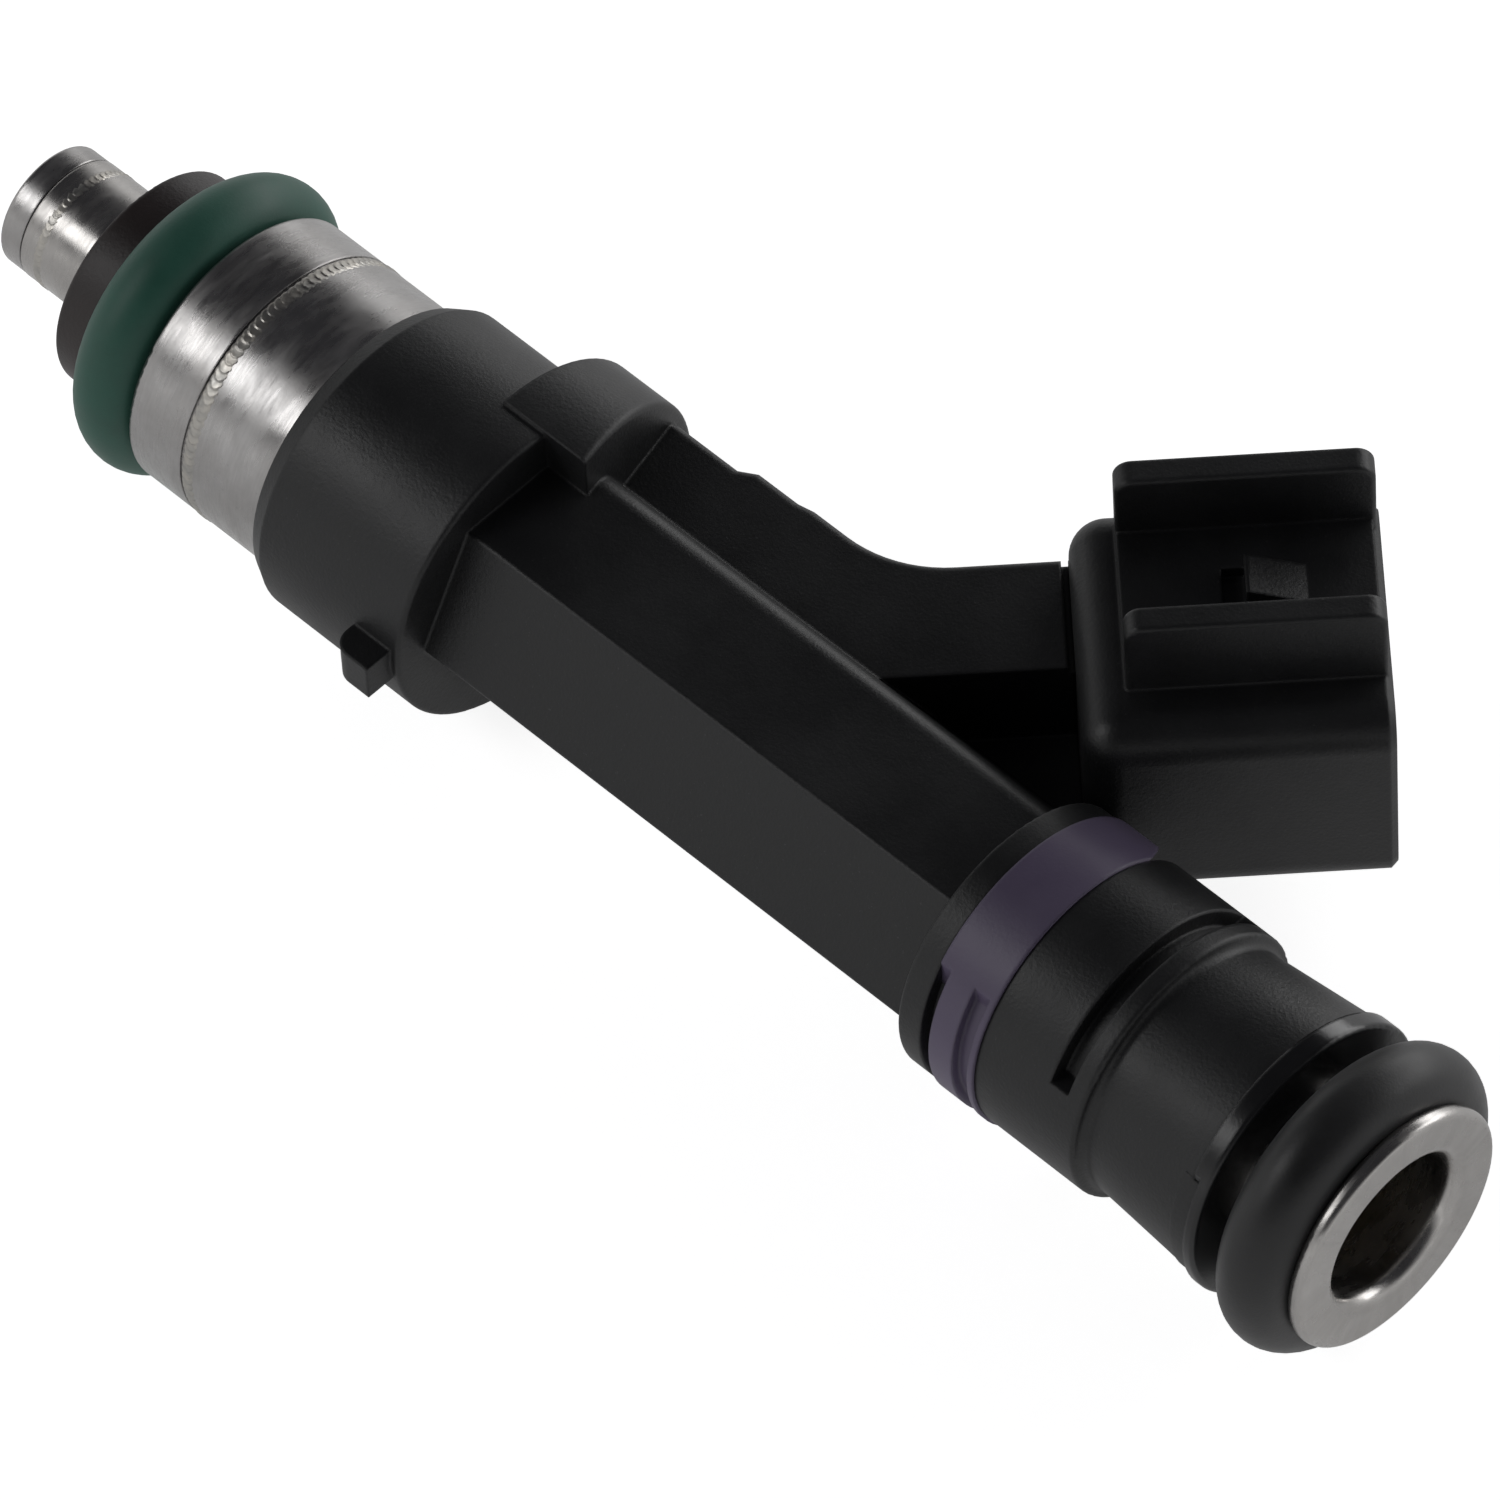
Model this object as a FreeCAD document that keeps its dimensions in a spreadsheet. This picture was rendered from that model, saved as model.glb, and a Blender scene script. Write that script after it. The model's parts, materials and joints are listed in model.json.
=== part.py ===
import FreeCAD, Part
import math
import os
import Sketcher
from FreeCAD import Placement, Rotation, Vector

# Fuel injector for port injection, lying on its side.
# +X runs along the injector from the spray tip to the fuel inlet, +Y points to the
# electrical connector, +Z is up, and the origin is the centre of the spray tip's end.
# The moulded body is the same above and below the XY plane except for the web, the
# raised pad, the guide fins, the latch and the socket's shell, which reaches further
# above the plane than below it.  All sizes are in millimetres.

DRIVING_SIZES = (
    # spray tip and lower seal
    ("tip_radius", 2.98, "outside of the valve tube in front of the lower support ring"),
    ("tube_radius", 3.30, "outside of the valve tube inside the injector"),
    ("tube_wall", 0.72, "wall of the valve tube"),
    ("cap_length", 1.25, "spray tip cap along the axis"),
    ("cap_radius", 2.96, "outside of the spray tip cap"),
    ("cap_wall", 0.22, "wall of the spray tip cap"),
    ("cap_edge", 0.176, "rounding of the cap's rim"),
    ("cap_seam", 0.08, "seam between the cap and the step in the tube"),
    ("cap_hole_radius", 1.75, "opening in the cap for the spray"),
    ("tip_length", 5.85, "bare tube from the tip's end to the lower support ring"),
    ("lower_ring_radius", 5.34, "outside of the lower support ring"),
    ("lower_ring_length", 2.00, "lower support ring along the axis"),
    ("seal_seat_radius", 3.90, "steel under both O-rings"),
    ("seal_cord", 3.40, "thickness of both O-rings as fitted"),
    ("lower_seal_gap", 0.15, "play beside the lower O-ring, each side"),
    # steel valve body and magnet housing
    ("pot_radius", 6.57, "outside of the steel valve body and magnet housing"),
    ("body_flange_length", 3.60, "thick flange of the valve body"),
    ("pot_length", 12.45, "magnet housing along the axis"),
    ("pot_wall", 0.80, "wall of the magnet housing"),
    ("relief_depth", 0.12, "fine turned groove beside the weld"),
    ("relief_width", 0.20, "that groove along the axis"),
    ("relief_setback", 0.20, "that groove's end before the weld"),
    ("pot_edge", 0.25, "rounding of the valve body's front edge"),
    # moulded body
    ("bare_steel_length", 4.50, "magnet housing left bare in front of the moulding"),
    ("barrel_nose_radius", 7.05, "moulding where it starts on the steel"),
    ("barrel_chamfer", 0.85, "length of the chamfer at the moulding's nose"),
    ("barrel_radius", 7.50, "thick barrel of the moulding"),
    ("barrel_length", 9.10, "thick barrel along the axis"),
    ("saddle_length", 2.30, "saddle on the connector side past the barrel's shoulder"),
    ("saddle_low", 1.75, "lower limit of the saddle, towards the connector side"),
    ("saddle_slope", 12.4, "lean of the saddle's end face in degrees"),
    ("saddle_edge", 0.25, "rounding of the saddle's outer edges"),
    ("saddle_inset", 0.05, "saddle's curve inside the barrel's, radius"),
    ("lug_shift", 1.90, "how far the top lug stands out of the barrel"),
    ("lug_start", 2.45, "top lug's front before the barrel's shoulder"),
    ("key_length", 2.10, "small key on the barrel's far side, along the axis"),
    ("key_width", 1.90, "small key across"),
    ("key_height", 1.35, "small key above the barrel"),
    ("key_setback", 0.45, "small key's back before the barrel's shoulder"),
    ("key_edge", 0.90, "rounding of the small key's front corner"),
    ("hex_radius", 6.00, "hexagonal body, centre to corner"),
    ("hex_round", 1.10, "rounding of the two hexagon corners beside the channel"),
    ("hex_length", 28.05, "hexagonal body from the barrel's shoulder to the collar"),
    ("plain_edge", 0.20, "rounding of barrel, hexagon and support ring edges"),
    ("fine_edge", 0.18, "rounding of collar, step and guide fin edges"),
    ("collar_radius", 6.48, "collar and upper body"),
    ("collar_length", 1.30, "collar along the axis"),
    ("band_length", 3.10, "colour ring along the axis"),
    ("band_radius", 6.60, "outside of the colour ring"),
    ("band_seat_radius", 5.75, "groove under the colour ring"),
    ("band_fit", 0.03, "radial play of the colour ring on its groove"),
    ("band_gap", 1.60, "half of the open gap in the colour ring"),
    ("band_far", 5.016, "where the colour ring's far side starts, from the axis"),
    ("band_relief", 0.62, "how far the ring's front is cut back on its far side"),
    ("band_channel_depth", 0.45, "channel round the ring's far side"),
    ("band_channel_width", 0.868, "that channel along the axis"),
    ("band_channel_setback", 0.31, "that channel from the ring's back"),
    ("band_bevel_start", 1.80, "bevel of the ring's open ends, from the ring's front"),
    ("band_bevel_half", 3.00, "half width between those bevels there"),
    ("band_bevel_slope", 58.0, "lean of the bevels from the axis in degrees"),
    ("upper_body_length", 5.55, "upper body from the colour ring to the step"),
    ("clip_slot_from_step", 1.85, "clip slot's far side before the step"),
    ("clip_slot_width", 1.00, "clip slot along the axis"),
    ("clip_slot_depth", 0.80, "clip slot below the upper body"),
    ("clip_slot_land", 3.00, "solid left between the two clip slots, half width"),
    ("inlet_neck_length", 5.90, "tapered neck from the step to the upper support ring"),
    ("inlet_neck_small", 5.93, "tapered neck at the step"),
    ("inlet_neck_large", 6.40, "tapered neck at the upper support ring"),
    ("inlet_neck_root", 0.35, "fillet at the tapered neck's root"),
    ("ring_key_depth", 0.40, "key of the neck in the upper support ring"),
    ("ring_key_low", 5.40, "distance of that key from the axis"),
    # lead channel and connector
    ("channel_half", 3.00, "half thickness of the lead channel and connector neck"),
    ("channel_low_height", 8.25, "lead channel's outer face beside the saddle"),
    ("channel_mid_height", 8.72, "lead channel's outer face in the middle"),
    ("channel_height", 8.88, "lead channel's outer face at the connector neck"),
    ("channel_ramp", 0.80, "length of each ramp between those heights"),
    ("channel_low_length", 2.30, "length of the lowest face past the saddle"),
    ("channel_mid_length", 2.30, "length of the middle face"),
    ("channel_edge", 0.45, "rounding of the channel's long edges"),
    ("connector_angle", 47.0, "connector axis from the injector axis in degrees"),
    ("connector_root", 40.20, "where the connector axis meets the injector axis"),
    ("neck_top", 4.90, "connector neck above the connector axis"),
    ("neck_bottom", 0.90, "connector neck below the connector axis"),
    ("neck_bend", 6.00, "inside bend from the channel to the neck"),
    ("neck_groove", 0.30, "groove round the neck at the socket, width and depth"),
    ("web_top", 1.60, "top of the web between body, neck and socket, below the XY plane"),
    ("web_bottom", 3.00, "underside of that web, below the XY plane"),
    ("web_corner", 6.60, "web's corner at the socket, below the connector axis"),
    ("web_end", 5.60, "web's corner at the collar, from the injector axis"),
    ("web_bite", 0.40, "how far the web runs into the collar"),
    ("shell_start", 14.85, "connector shell's back from the root, along its axis"),
    ("shell_length", 12.95, "connector shell along its axis"),
    ("shell_outer", 5.40, "connector shell's outer side from the connector axis"),
    ("shell_inner", 7.20, "connector shell's side nearest the body, from the connector axis"),
    ("shell_top", 5.85, "connector shell's top from the XY plane"),
    ("shell_bottom", 4.80, "connector shell's underside from the XY plane"),
    ("shell_round", 1.60, "rounding of the shell's edges and back"),
    ("shell_wall", 1.10, "wall of the connector shell"),
    ("socket_round", 1.15, "rounding of the socket's inner corners"),
    ("platform_rise", 0.75, "raised pad between the guide fins above the shell"),
    ("socket_depth", 10.40, "depth of the connector's socket"),
    ("mouth_chamfer", 0.30, "chamfer round the mouth"),
    ("fin_setback", 1.95, "guide fins' back from the shell's back"),
    ("fin_length", 10.85, "guide fins along the connector axis"),
    ("fin_rise", 4.05, "guide fins above the shell"),
    ("fin_thickness", 1.25, "thickness of each guide fin"),
    ("fin_side", 4.45, "guide fins' outer faces from the connector axis"),
    ("fin_round", 0.80, "rounding of the guide fins' top corners"),
    ("latch_setback", 3.25, "latch ramp's foot from the mouth"),
    ("latch_length", 2.55, "latch ramp along the connector axis"),
    ("latch_rise", 0.95, "latch ramp above the raised pad"),
    ("latch_width", 2.00, "latch ramp across"),
    ("latch_top", 0.15, "flat along the latch ramp's top"),
    ("latch_slot", 0.95, "slot behind the latch ramp"),
    # upper seal and fuel inlet
    ("upper_ring_radius", 6.60, "outside of the upper support ring"),
    ("upper_ring_length", 0.95, "upper support ring along the axis"),
    ("upper_seal_gap", 1.00, "bare tube between the support ring and the O-ring"),
    ("tube_lap", 0.02, "inlet tube's bore inside the valve tube's outside, radius"),
    ("counterbore_wall", 0.40, "wall of the inlet tube above the filter"),
    ("flange_radius", 5.82, "rolled flange of the inlet tube"),
    ("flange_thickness", 0.85, "rolled flange along the axis"),
    ("flange_edge", 0.36, "rounding of the rolled flange's rim"),
    ("flange_lip", 0.80, "rounding from the flange's face into the bore"),
    ("filter_depth", 8.30, "filter's top below the flange's face"),
    ("filter_length", 10.0, "filter along the axis"),
    ("filter_ring_length", 1.20, "metal ring at the filter's top"),
    ("filter_ring_wall", 0.50, "wall of that ring"),
    ("frame_wall", 0.35, "wall of the filter's frame outside the gauze"),
    ("frame_end", 0.80, "thickness of the frame's seat and closed end"),
    ("rib_half", 0.35, "half width of the frame's ribs"),
    ("mesh_radius", 2.23, "outside of the filter's gauze"),
    ("mesh_thickness", 0.12, "thickness of the filter's gauze"),
    # valve
    ("plate_setback", 0.50, "orifice plate's outer face inside the tip"),
    ("plate_thickness", 0.25, "orifice plate"),
    ("spray_hole_radius", 0.11, "each hole of the orifice plate"),
    ("spray_hole_circle", 0.22, "circle of the orifice plate's holes, radius"),
    ("seat_length", 2.60, "valve seat along the axis"),
    ("sac_radius", 0.40, "passage through the valve seat"),
    ("sac_length", 0.30, "length of that passage before the cone starts"),
    ("ball_radius", 1.50, "valve ball"),
    ("ball_guide_play", 0.06, "radial play of the ball in its guide"),
    ("seat_play", 0.01, "play between the closed ball and its cone"),
    ("needle_radius", 1.10, "needle tube"),
    ("needle_wall", 0.35, "wall of the needle tube"),
    ("needle_hole_radius", 0.30, "fuel holes through the needle tube"),
    ("armature_play", 0.08, "radial play of the armature in the valve tube"),
    ("armature_start", 15.40, "armature's front face"),
    ("armature_length", 5.00, "armature along the axis"),
    ("needle_press_length", 1.60, "needle tube held in the armature"),
    ("working_gap", 0.10, "gap from the closed armature to the pole core"),
    ("spring_bore_radius", 1.30, "bore of the armature and pole core round the spring"),
    ("spring_wire", 0.40, "spring wire diameter"),
    ("spring_outer_radius", 1.18, "outside of the spring's coils"),
    ("spring_turns", 7.50, "turns of the closing spring"),
    ("spring_end_play", 0.01, "play at each end of the closing spring"),
    ("spring_length", 9.50, "closing spring between its seats"),
    ("tube_end", 30.00, "valve tube's inner end, where the inlet tube starts"),
    ("pole_head_length", 3.00, "pole core's head inside the inlet tube"),
    ("sleeve_length", 5.50, "adjusting sleeve"),
    ("sleeve_wall", 0.40, "wall of the adjusting sleeve"),
    ("sleeve_slit", 0.30, "slit along the adjusting sleeve"),
    # coil and terminals
    ("bobbin_front_gap", 0.20, "room between the valve body and the bobbin"),
    ("bobbin_wall", 0.56, "wall of the bobbin's barrel"),
    ("bobbin_cheek", 0.80, "thickness of the bobbin's cheeks"),
    ("bobbin_cheek_play", 0.17, "bobbin's cheeks inside the magnet housing"),
    ("winding_depth", 1.55, "thickness of the coil winding"),
    ("yoke_thickness", 1.20, "yoke washer that closes the magnet housing"),
    ("yoke_notch", 3.80, "notch in the yoke washer for the bobbin's tower"),
    ("tower_low", 4.20, "underside of the bobbin's tower from the axis"),
    ("tower_high", 5.20, "top of the bobbin's tower from the axis"),
    ("tower_length", 4.80, "bobbin's tower past its cheek"),
    ("tower_width", 3.00, "bobbin's tower across"),
    ("blade_thickness", 0.64, "terminal strip"),
    ("blade_width", 1.50, "terminal blade in the socket"),
    ("blade_offset", 1.95, "terminal blades from the middle between them"),
    ("blade_shift", 0.50, "that middle from the connector axis, towards the body"),
    ("blade_reach", 6.60, "terminal blades above the socket's floor"),
    ("blade_tip", 0.22, "chamfer of the terminal blades' tips"),
    ("strip_width", 1.00, "terminal strip inside the moulding"),
    ("strip_step", 1.15, "room between the socket's floor and the strips' sidestep"),
    ("inner_strip_height", 6.30, "inner terminal strip from the injector axis"),
    ("outer_strip_height", 7.60, "outer terminal strip from the injector axis"),
    ("inner_strip_neck", 0.00, "inner strip from the connector axis, in the neck"),
    ("outer_strip_neck", 3.20, "outer strip from the connector axis, in the neck"),
    ("inner_foot", 4.20, "inner terminal's foot past the bobbin's cheek"),
    ("outer_foot", 2.00, "outer terminal's foot past the bobbin's cheek"),
)

ALONG_X = Rotation(Vector(0, 1, 0), 90)
CORNER_TO_Y = Rotation(Vector(1, 0, 0), 90).multiply(ALONG_X)

document = FreeCAD.newDocument("FuelInjector")
sheet = document.addObject("Spreadsheet::Sheet", "Sizes")


class Size:
    """A length with its value and the expression that ties objects to the sheet."""

    def __init__(self, value, text):
        self.value = value
        self.text = text

    @staticmethod
    def of(other):
        return other if isinstance(other, Size) else Size(float(other), repr(float(other)))

    def __add__(self, other):
        other = Size.of(other)
        return Size(self.value + other.value, f"({self.text} + {other.text})")

    def __sub__(self, other):
        other = Size.of(other)
        return Size(self.value - other.value, f"({self.text} - {other.text})")

    def __mul__(self, other):
        other = Size.of(other)
        return Size(self.value * other.value, f"({self.text} * {other.text})")

    def __truediv__(self, other):
        other = Size.of(other)
        return Size(self.value / other.value, f"({self.text} / {other.text})")

    def __neg__(self):
        return Size(-self.value, f"(-1 * {self.text})")

    def cosine(self):
        return Size(math.cos(math.radians(self.value)), f"cos({self.text} * 1 deg)")

    def sine(self):
        return Size(math.sin(math.radians(self.value)), f"sin({self.text} * 1 deg)")

    def tangent(self):
        return Size(math.tan(math.radians(self.value)), f"tan({self.text} * 1 deg)")

    def square(self):
        return Size(self.value ** 2, f"({self.text} ^ 2)")

    def root(self):
        return Size(math.sqrt(self.value), f"sqrt({self.text})")


class Sheet:
    """The driving sizes, each as an attribute."""


s = Sheet()
for row, (name, value, note) in enumerate(DRIVING_SIZES, start=1):
    sheet.set(f"A{row}", name)
    sheet.set(f"B{row}", str(value))
    sheet.set(f"C{row}", note)
    sheet.setAlias(f"B{row}", name)
    setattr(s, name, Size(value, f"Sizes.{name}"))
document.recompute()

ORIGIN = Size.of(0)

# Stations along the injector axis.
lower_ring_end = s.tip_length + s.lower_ring_length
lower_seal = lower_ring_end + s.lower_seal_gap + s.seal_cord / 2
pot_front = lower_seal + s.seal_cord / 2 + s.lower_seal_gap
weld_line = pot_front + s.body_flange_length
pot_end = weld_line + s.pot_length
barrel_start = weld_line + s.bare_steel_length
shoulder = barrel_start + s.barrel_length
saddle_end = shoulder + s.saddle_length
collar_start = shoulder + s.hex_length
band_start = collar_start + s.collar_length
band_end = band_start + s.band_length
step = band_end + s.upper_body_length
neck_end = step + s.inlet_neck_length
upper_ring_end = neck_end + s.upper_ring_length
upper_seal = upper_ring_end + s.upper_seal_gap + s.seal_cord / 2
flange_back = upper_seal + s.seal_cord / 2
inlet_face = flange_back + s.flange_thickness
filter_top = inlet_face - s.filter_depth
plate_end = s.plate_setback + s.plate_thickness
seat_end = plate_end + s.seat_length
armature_end = s.armature_start + s.armature_length
pole_face = armature_end + s.working_gap
spring_seat = s.armature_start + s.needle_press_length
sleeve_start = spring_seat + s.spring_length
bobbin_start = weld_line + s.bobbin_front_gap
bobbin_end = pot_end - s.yoke_thickness
tube_bore = s.tube_radius - s.tube_wall
inlet_bore = s.tube_radius - s.tube_lap
counterbore = s.seal_seat_radius - s.counterbore_wall
pot_bore = s.pot_radius - s.pot_wall
seal_ring_radius = s.seal_seat_radius + s.seal_cord / 2
shell_end = s.shell_start + s.shell_length
socket_floor = shell_end - s.socket_depth
platform_top = s.shell_top + s.platform_rise


def bind(item, **sizes):
    """Tie an object's properties to the sheet."""
    for prop, size in sizes.items():
        item.setExpression(prop, Size.of(size).text)


def move(item, x=0, y=0, z=0):
    for axis, size in (("x", x), ("y", y), ("z", z)):
        item.setExpression(f"Placement.Base.{axis}", Size.of(size).text)


def cylinder(name, radius, start, end, y=0):
    item = document.addObject("Part::Cylinder", name)
    item.Placement = Placement(Vector(), ALONG_X)
    bind(item, Radius=radius, Height=end - start)
    move(item, start, y)
    return item


def box(name, x, y, z):
    """A box between two limits along each axis."""
    item = document.addObject("Part::Box", name)
    bind(item, Length=x[1] - x[0], Width=y[1] - y[0], Height=z[1] - z[0])
    move(item, x[0], y[0], z[0])
    return item


def connector_box(name, along, across, height):
    """A box in the connector's axes: along it, across it in the XY plane, and along Z."""
    item = document.addObject("Part::Box", name)
    item.Placement = Placement(Vector(), Rotation(Vector(0, 0, 1), s.connector_angle.value))
    item.setExpression("Placement.Rotation.Angle", f"{s.connector_angle.text} * 1 deg")
    bind(item, Length=along[1] - along[0], Width=across[1] - across[0])
    bind(item, Height=height[1] - height[0])
    move(item, connector_x(along[0], across[0]), connector_y(along[0], across[0]), height[0])
    return item


def connector_x(along, across):
    angle = s.connector_angle
    return s.connector_root + angle.cosine() * along - angle.sine() * across


def connector_y(along, across):
    angle = s.connector_angle
    return angle.sine() * along + angle.cosine() * across


def fuse(name, *items):
    result = document.addObject("Part::MultiFuse", name)
    result.Shapes = list(items)
    return result


def cut(name, base, tool):
    result = document.addObject("Part::Cut", name)
    result.Base = base
    result.Tool = tool
    return result


def common(name, *items):
    result = document.addObject("Part::MultiCommon", name)
    result.Shapes = list(items)
    return result


def edge_numbers(shape, wanted):
    """Numbers of the edges whose two ends or centre satisfy a test."""
    return [number for number, edge in enumerate(shape.Edges, start=1) if wanted(edge)]


def round_edges(name, base, radius, wanted, kind="Part::Fillet"):
    """Round or chamfer the chosen edges of a Part object by one size."""
    document.recompute()
    result = document.addObject(kind, name)
    result.Base = base
    chosen = edge_numbers(base.Shape, wanted)
    result.Edges = [(number, radius.value, radius.value) for number in chosen]
    return result


def turned(name, profile, rounds=()):
    """A body turned about the X axis from (station, radius) corners."""
    body = document.addObject("PartDesign::Body", name)
    sketch = body.newObject("Sketcher::SketchObject", f"{name}_profile")
    plane = next(item for item in body.Origin.OriginFeatures if item.Role == "XY_Plane")
    sketch.AttachmentSupport = [(plane, "")]
    sketch.MapMode = "FlatFace"
    corners = [(Size.of(x), Size.of(r)) for x, r in profile]
    draw_outline(sketch, corners)
    solid = body.newObject("PartDesign::Revolution", f"{name}_turning")
    solid.Profile = sketch
    solid.ReferenceAxis = (sketch, ["H_Axis"])
    solid.Angle = 360
    for number, (station, radius, size) in enumerate(rounds):
        document.recompute()
        rim = edge_numbers(solid.Shape, lambda edge: is_rim(edge, station, radius))
        rounded = body.newObject("PartDesign::Fillet", f"{name}_round_{number}")
        rounded.Base = (solid, [f"Edge{edge}" for edge in rim])
        bind(rounded, Radius=size)
        solid = rounded
    return body


def draw_outline(sketch, corners):
    """A closed outline, each corner held by its distances from the origin."""
    points = [Vector(x.value, y.value, 0) for x, y in corners]
    count = len(points)
    for index in range(count):
        sketch.addGeometry(Part.LineSegment(points[index], points[(index + 1) % count]))
    for index in range(count):
        sketch.addConstraint(Sketcher.Constraint("Coincident", index, 2, (index + 1) % count, 1))
    for index, (x, y) in enumerate(corners):
        hold_corner(sketch, index, "DistanceX", x, -2)
        hold_corner(sketch, index, "DistanceY", y, -1)


def hold_corner(sketch, index, kind, size, axis):
    if size.value == 0:
        sketch.addConstraint(Sketcher.Constraint("PointOnObject", index, 1, axis))
        return
    rule = Sketcher.Constraint(kind, -1, 1, index, 1, size.value)
    number = sketch.addConstraint(rule)
    sketch.setExpression(f"Constraints[{number}]", size.text)


def padded(name, outline, half_thickness):
    """A body of even thickness about the XY plane from (x, y) corners."""
    body = document.addObject("PartDesign::Body", name)
    sketch = body.newObject("Sketcher::SketchObject", f"{name}_outline")
    plane = next(item for item in body.Origin.OriginFeatures if item.Role == "XY_Plane")
    sketch.AttachmentSupport = [(plane, "")]
    sketch.MapMode = "FlatFace"
    draw_outline(sketch, [(Size.of(x), Size.of(y)) for x, y in outline])
    solid = body.newObject("PartDesign::Pad", f"{name}_pad")
    solid.Profile = sketch
    solid.Midplane = True
    bind(solid, Length=half_thickness * 2)
    return body, solid


def is_rim(edge, station, radius):
    curve = edge.Curve
    if not isinstance(curve, Part.Circle):
        return False
    near_station = abs(curve.Center.x - Size.of(station).value) < 1e-4
    return near_station and abs(curve.Radius - Size.of(radius).value) < 1e-4


def runs_along(edge, direction):
    ends = [vertex.Point for vertex in edge.Vertexes]
    if len(ends) < 2:
        return False
    line = ends[1].sub(ends[0])
    return line.Length > 1e-6 and abs(abs(line.dot(direction)) - line.Length) < 1e-6


def tube(name, outer, inner, start, end):
    profile = ((start, inner), (start, outer), (end, outer), (end, inner))
    return turned(name, profile)


# ---------------------------------------------------------------- spray tip and valve


def make_nozzle_cap():
    inner = s.cap_radius - s.cap_wall
    profile = (
        (0, s.cap_hole_radius),
        (0, s.cap_radius),
        (s.cap_length, s.cap_radius),
        (s.cap_length, inner),
        (s.cap_wall, inner),
        (s.cap_wall, s.cap_hole_radius),
    )
    return turned("nozzle_cap", profile, ((0, s.cap_radius, s.cap_edge),))


def make_valve_tube():
    """Thin tube from the tip to the pole core, stepped down under the cap."""
    under_cap = s.cap_radius - s.cap_wall
    profile = (
        (s.cap_wall, tube_bore),
        (s.cap_wall, under_cap),
        (s.cap_length + s.cap_seam, under_cap),
        (s.cap_length + s.cap_seam, s.tip_radius),
        (s.tip_length, s.tip_radius),
        (s.tip_length, s.tube_radius),
        (s.tube_end, s.tube_radius),
        (s.tube_end, tube_bore),
    )
    return turned("valve_tube", profile)


def make_orifice_plate():
    """Disc with four spray holes."""
    disc = cylinder("orifice_disc", tube_bore, s.plate_setback, plate_end)
    holes = []
    for index, (side_y, side_z) in enumerate(((1, 0), (0, 1), (-1, 0), (0, -1))):
        hole = cylinder(f"spray_hole_{index}", s.spray_hole_radius, ORIGIN, plate_end * 2)
        move(hole, ORIGIN, s.spray_hole_circle * side_y, s.spray_hole_circle * side_z)
        holes.append(hole)
    return cut("orifice_plate", disc, fuse("spray_holes", *holes))


guide_radius = s.ball_radius + s.ball_guide_play
cone_start = plate_end + s.sac_length
cone_end = cone_start + guide_radius - s.sac_radius
ball_centre = cone_start - s.sac_radius + (s.ball_radius + s.seat_play) * math.sqrt(2)


def make_valve_seat():
    """Seat with a 90 degree cone under a cylindrical guide for the ball."""
    profile = (
        (plate_end, s.sac_radius),
        (plate_end, tube_bore),
        (seat_end, tube_bore),
        (seat_end, guide_radius),
        (cone_end, guide_radius),
        (cone_start, s.sac_radius),
    )
    return turned("valve_seat", profile)


def ball(name):
    item = document.addObject("Part::Sphere", name)
    item.Placement = Placement(Vector(), ALONG_X)
    bind(item, Radius=s.ball_radius)
    move(item, ball_centre)
    return item


def make_needle_tube():
    """Hollow needle, ground to the ball, with cross holes for the fuel."""
    blank = tube("needle_blank", s.needle_radius, s.needle_radius - s.needle_wall,
                 ball_centre, spring_seat)
    hole = document.addObject("Part::Cylinder", "needle_cross_hole")
    bind(hole, Radius=s.needle_hole_radius, Height=s.needle_radius * 4)
    move(hole, seat_end + s.needle_radius * 2, 0, -(s.needle_radius * 2))
    return cut("needle_tube", blank, fuse("needle_cuts", ball("needle_seat_ball"), hole))


def make_armature():
    outer = tube_bore - s.armature_play
    profile = (
        (s.armature_start, s.needle_radius),
        (s.armature_start, outer),
        (armature_end, outer),
        (armature_end, s.spring_bore_radius),
        (spring_seat, s.spring_bore_radius),
        (spring_seat, s.needle_radius),
    )
    return turned("armature", profile)


def make_closing_spring():
    """Round wire coiled between the needle's end and the adjusting sleeve."""
    wire_radius = s.spring_wire / 2
    coil_radius = s.spring_outer_radius - wire_radius
    coil_length = s.spring_length - s.spring_wire - s.spring_end_play * 2
    helix = document.addObject("Part::Helix", "spring_line")
    helix.Placement = Placement(Vector(), ALONG_X)
    bind(helix, Radius=coil_radius, Height=coil_length, Pitch=coil_length / s.spring_turns)
    move(helix, spring_seat + wire_radius + s.spring_end_play)
    circle = document.addObject("Part::Circle", "spring_section")
    bind(circle, Radius=wire_radius)
    document.recompute()
    start = helix.Shape.Vertexes[0].Point
    circle.Placement = Placement(start, Rotation(Vector(0, 0, 1), Vector(0, 1, 0)))
    sweep = document.addObject("Part::Sweep", "closing_spring")
    sweep.Sections = [circle]
    sweep.Spine = (helix, [f"Edge{n + 1}" for n in range(len(helix.Shape.Edges))])
    sweep.Solid = True
    sweep.Frenet = True
    return sweep


def make_pole_core():
    head = s.tube_end + s.pole_head_length
    profile = (
        (pole_face, s.spring_bore_radius),
        (pole_face, tube_bore),
        (s.tube_end, tube_bore),
        (s.tube_end, inlet_bore),
        (head, inlet_bore),
        (head, s.spring_bore_radius),
    )
    return turned("pole_core", profile)


def make_adjusting_sleeve():
    """Split sleeve pressed into the pole core to load the spring."""
    end = sleeve_start + s.sleeve_length
    blank = tube("sleeve_blank", s.spring_bore_radius, s.spring_bore_radius - s.sleeve_wall,
                 sleeve_start, end)
    slit = box("sleeve_slit", (sleeve_start, end), (ORIGIN, s.spring_bore_radius * 2),
               (-(s.sleeve_slit / 2), s.sleeve_slit / 2))
    return cut("adjusting_sleeve", blank, slit)


# ---------------------------------------------------------------- steel and coil


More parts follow.
